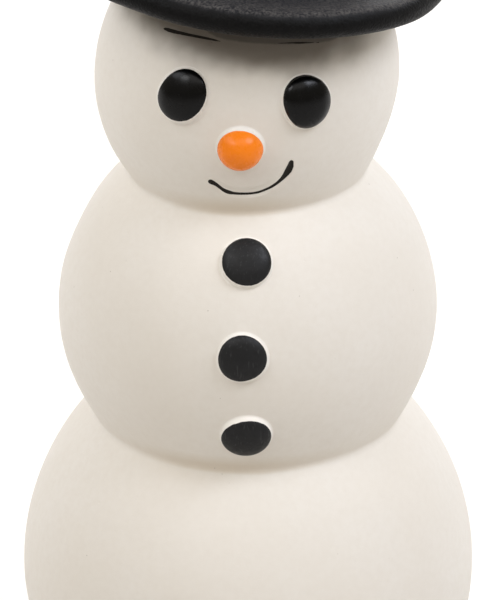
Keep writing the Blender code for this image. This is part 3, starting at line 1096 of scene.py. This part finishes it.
def build_snowman():
    lower, middle, head = make_lower(), make_middle(), make_head()
    eye = plug_paint("gloss_black_eye", gloss_black, EYE_IOR)
    nose = plug_paint("gloss_orange_nose", gloss_orange, PLUG_IOR)
    button = plug_paint("satin_black_button", satin_black, PLUG_IOR)
    plugs = {
        "eye_left": (head, eye, EYE_LEFT),
        "eye_right": (head, eye, EYE_RIGHT),
        "nose": (head, nose, NOSE),
        "button_upper": (middle, button, BUTTON_UPPER),
        "button_middle": (middle, button, BUTTON_MIDDLE),
        "button_lower": (middle, button, BUTTON_LOWER),
    }
    for node, (ball, material, shape) in plugs.items():
        plug, cutter = make_plug(node, **shape)
        drill(ball, cutter)
        fit(plug, node, material)
    paint_head(head)
    for ball in (lower, middle, head):
        mark_crease_shade(ball)
    fit(lower, "body_lower", foot_paint())
    fit(middle, "body_middle", plain_paint("cream_paint", cream, CREAM_IOR))
    fit(head, "head", head_paint())
    hat = plain_paint("grained_black_hat", grained_black, HAT_IOR)
    fit(make_brim(), "hat_brim", hat)
    fit(make_crown(), "hat_crown", hat)
    dowel_wood = plain_paint("beech", beech, BEECH_IOR)
    for node in ("waist_dowel", "neck_dowel", "hat_dowel"):
        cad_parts[node].data.materials.clear()
        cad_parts[node].data.materials.append(dowel_wood)


# Studio


def add_floor():
    """A pale table. It glows behind the figure, as a backdrop lit on its own would."""
    half = FLOOR_HALF
    mesh = bpy.data.meshes.new("floor")
    corners = [(-half, -half, 0), (half, -half, 0), (half, half, 0), (-half, half, 0)]
    mesh.from_pydata(corners, [], [(0, 1, 2, 3)])
    floor = bpy.data.objects.new("floor", mesh)
    bpy.context.scene.collection.objects.link(floor)
    look = Look("pale_floor", Emission_Color=(1, 1, 1, 1))
    behind = look.add("SeparateXYZ", {0: look.place}).outputs[1]
    start, full, strength = GLOW
    glow = look.span(behind, start, full, 0, strength, smooth=True)
    look.feed(look.shader.inputs["Emission Strength"], glow)
    tone = look.mix(look.noise(0.05, 3.0), (0.60, 0.58, 0.55), (0.62, 0.60, 0.57))
    mesh.materials.append(look.finish((tone, 0.8, look.relief((look.noise(0.002), 0.02)))))


def add_softbox(name, azimuth, elevation, power, size, colour):
    """A soft light aimed at the figure, which the camera doesn't see."""
    turn, rise = math.radians(azimuth), math.radians(elevation)
    level = math.cos(rise)
    way = Vector((level * math.sin(turn), -level * math.cos(turn), math.sin(rise)))
    lamp = bpy.data.lights.new(name, "AREA")
    lamp.shape = "RECTANGLE"
    lamp.size, lamp.size_y = size
    lamp.energy = power
    lamp.color = colour
    source = bpy.data.objects.new(name, lamp)
    bpy.context.scene.collection.objects.link(source)
    source.location = SOFTBOX_AIM + SOFTBOX_DISTANCE * way
    source.rotation_euler = way.to_track_quat("Z", "Y").to_euler()
    source.visible_camera = False


def add_world(above):
    """Even light of that colour from above the horizon, and none from below it."""
    world = bpy.data.worlds.new("studio")
    bpy.context.scene.world = world
    world.use_nodes = True
    nodes, links = world.node_tree.nodes, world.node_tree.links
    way = nodes.new("ShaderNodeTexCoord")
    split = nodes.new("ShaderNodeSeparateXYZ")
    height = nodes.new("ShaderNodeMapRange")
    height.inputs[1].default_value = -HORIZON
    height.inputs[2].default_value = HORIZON
    light = nodes.new("ShaderNodeMix")
    light.data_type = "RGBA"
    light.inputs[6].default_value = (0, 0, 0, 1)
    light.inputs[7].default_value = (*above, 1)
    links.new(way.outputs["Generated"], split.inputs[0])
    links.new(split.outputs[2], height.inputs[0])
    links.new(height.outputs[0], light.inputs[0])
    links.new(light.outputs[2], nodes["Background"].inputs["Color"])


def light_studio():
    add_world(SKY_LIGHT)
    for softbox in SOFTBOXES:
        add_softbox(*softbox)


def add_camera():
    camera = bpy.data.cameras.new("camera")
    camera.lens = LENS
    camera.clip_end = 20
    holder = bpy.data.objects.new("camera", camera)
    bpy.context.scene.collection.objects.link(holder)
    back = Vector((0, -math.cos(CAMERA_PITCH), math.sin(CAMERA_PITCH)))
    right = Vector((1, 0, 0))
    turn = Matrix((right, back.cross(right), back)).transposed().to_4x4()
    place = Vector((
        CAMERA_SIDEWAYS,
        -CAMERA_DISTANCE * math.cos(CAMERA_RISE),
        MIDDLE[2] + CAMERA_DISTANCE * math.sin(CAMERA_RISE),
    ))
    roll = Matrix.Rotation(-CAMERA_ROLL, 4, "Z")
    holder.matrix_world = Matrix.Translation(place) @ turn @ roll
    bpy.context.scene.camera = holder
    bpy.context.scene.view_settings.view_transform = "Standard"


build_snowman()
add_floor()
light_studio()
add_camera()
